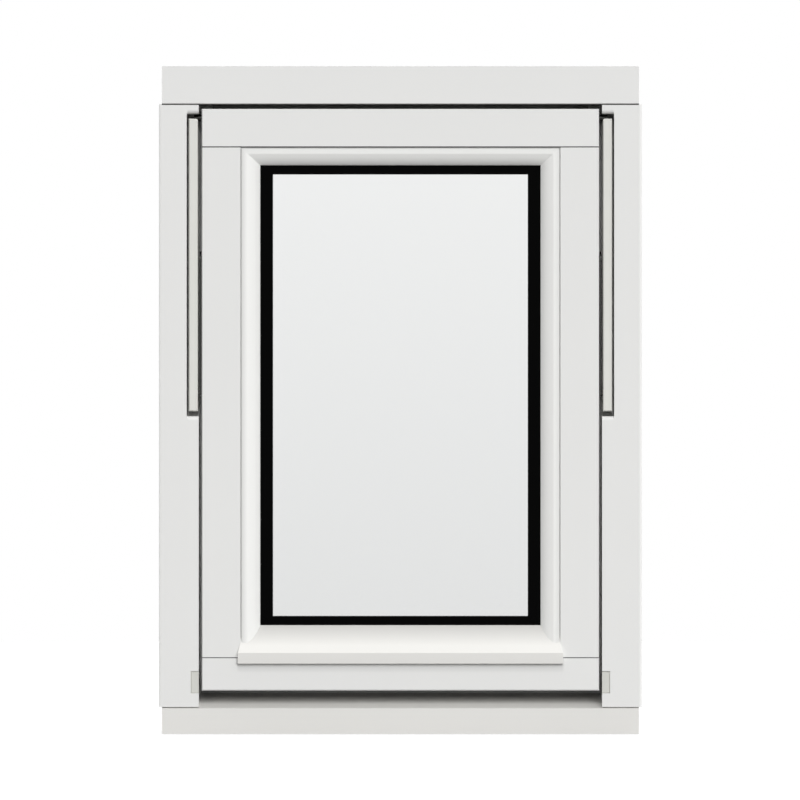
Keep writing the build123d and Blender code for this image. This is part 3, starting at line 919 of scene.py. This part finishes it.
class SetStage(bpy.types.Operator):
    """Lay the floor, hang the lights and place the camera in front of the window"""

    bl_idname = "pivot_window.set_stage"
    bl_label = "Set Stage"

    def execute(self, context):
        settings = context.scene.window_stage
        self.lay_floor()
        self.light(settings)
        self.aim_camera(settings)
        context.scene.view_settings.view_transform = "Standard"
        return {"FINISHED"}

    def lay_floor(self):
        mesh = bpy.data.meshes.new("floor")
        corners = [(across * FLOOR_REACH, back * FLOOR_REACH, -FLOOR_DROP)
                   for across, back in ((-1, -1), (1, -1), (1, 1), (-1, 1))]
        mesh.from_pydata(corners, [], [(0, 1, 2, 3)])
        floor = bpy.data.objects.new("floor", mesh)
        bpy.context.scene.collection.objects.link(floor)
        pale = Finish(bpy.data.materials.new("pale floor"))
        seen = pale.node("ShaderNodeLightPath", {}, {}, "Is Camera Ray") + self.mirrored(pale)
        dull = pale.node("ShaderNodeBsdfDiffuse", {}, {"Color": rgba((FLOOR_COLOUR,) * 3)})
        glow = pale.node("ShaderNodeEmission", {}, {"Strength": seen * FLOOR_GLOW})
        both = pale.node("ShaderNodeAddShader", {}, {0: dull, 1: glow})
        pale.node("ShaderNodeOutputMaterial", {}, {"Surface": both})
        mesh.materials.append(pale.owner)

    def light(self, settings):
        """White to the camera, and to the window soft light from above and a wide sun."""
        world = bpy.data.worlds.new("white room")
        bpy.context.scene.world = world
        room = Finish(world)

        def blend(way, places, ends):
            """A value that goes from one end to the other between two places along a way."""
            return room.node("ShaderNodeMapRange", {}, {"Value": way, "From Min": places[0],
                                                        "From Max": places[1], "To Min": ends[0],
                                                        "To Max": ends[1]})

        seen = room.node("ShaderNodeLightPath", {}, {}, "Is Camera Ray")
        way = room.node("ShaderNodeTexCoord", {}, {}, "Generated")
        across, depth, rise = (room.node("ShaderNodeSeparateXYZ", {}, {"Vector": way}, name)
                               for name in "XYZ")
        wall = blend(rise, WALL_RISE, WALL_GLOW)
        front = settings.sky + across * (settings.sky * SIDE_SHARE)
        dome = blend(depth, FRONT_TO_BACK, (front, settings.room))
        soft = blend(rise, BELOW_TO_ABOVE, (BELOW, dome))
        strength = soft + seen * (1.0 - soft)
        strength = strength + (wall - soft) * self.mirrored(room)
        glow = room.node("ShaderNodeBackground", {}, {"Color": rgba((1.0, 1.0, 1.0)),
                                                      "Strength": strength})
        room.node("ShaderNodeOutputWorld", {}, {"Surface": glow})
        self.hang_key(settings)

    def mirrored(self, finish):
        """One for a ray that a gloss throws back or that glass lets through."""
        path = [finish.node("ShaderNodeLightPath", {}, {}, name)
                for name in ("Is Glossy Ray", "Is Transmission Ray")]
        return finish.node("ShaderNodeMath", {"operation": "MAXIMUM"}, {0: path[0], 1: path[1]})

    def hang_key(self, settings):
        """The soft sun at the upper right, turned towards the window's middle."""
        lamp = bpy.data.lights.new("key", "SUN")
        lamp.energy = settings.key
        lamp.angle = settings.key_width
        key = bpy.data.objects.new("key", lamp)
        key.location = KEY_SPOT
        aim = Vector(KEY_AIM) - Vector(KEY_SPOT)
        key.rotation_euler = aim.to_track_quat("-Z", "Y").to_euler()
        bpy.context.scene.collection.objects.link(key)

    def aim_camera(self, settings):
        lens = bpy.data.cameras.new("camera")
        lens.sensor_width = SENSOR
        lens.lens = SENSOR * settings.distance / settings.width
        lens.clip_end = 200.0
        camera = bpy.data.objects.new("camera", lens)
        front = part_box("frame_head")[0].y
        camera.location = (-settings.offset, front - settings.distance, settings.height)
        camera.rotation_euler = (math.radians(90.0), 0.0, 0.0)
        bpy.context.scene.collection.objects.link(camera)
        bpy.context.scene.camera = camera


STEPS = (PaintTimber, FitBeads, Glaze, FinishGear, FitSeals, DriveScrews, SetStage)
SETTINGS = {"window_timber": TimberSettings, "window_beads": BeadSettings,
            "window_glazing": GlazingSettings, "window_gear": GearSettings,
            "window_stage": StageSettings}


class WindowPanel(bpy.types.Panel):
    """The window's steps and sizes in the sidebar"""

    bl_idname = "VIEW3D_PT_pivot_window"
    bl_label = "Pivot Window"
    bl_space_type = "VIEW_3D"
    bl_region_type = "UI"
    bl_category = "Pivot Window"

    def draw(self, context):
        for name in SETTINGS:
            box = self.layout.box()
            group = getattr(context.scene, name)
            for key in group.__annotations__:
                box.prop(group, key)
        for step in STEPS:
            self.layout.operator(step.bl_idname)


def register():
    for group in SETTINGS.values():
        bpy.utils.register_class(group)
    for name, group in SETTINGS.items():
        setattr(bpy.types.Scene, name, bpy.props.PointerProperty(type=group))
    for step in STEPS:
        bpy.utils.register_class(step)
    bpy.utils.register_class(WindowPanel)


def unregister():
    bpy.utils.unregister_class(WindowPanel)
    for step in reversed(STEPS):
        bpy.utils.unregister_class(step)
    for name, group in SETTINGS.items():
        delattr(bpy.types.Scene, name)
        bpy.utils.unregister_class(group)


def main():
    register()
    for step in STEPS:
        area, action = step.bl_idname.split(".")
        getattr(getattr(bpy.ops, area), action)()


if __name__ == "__main__":
    main()
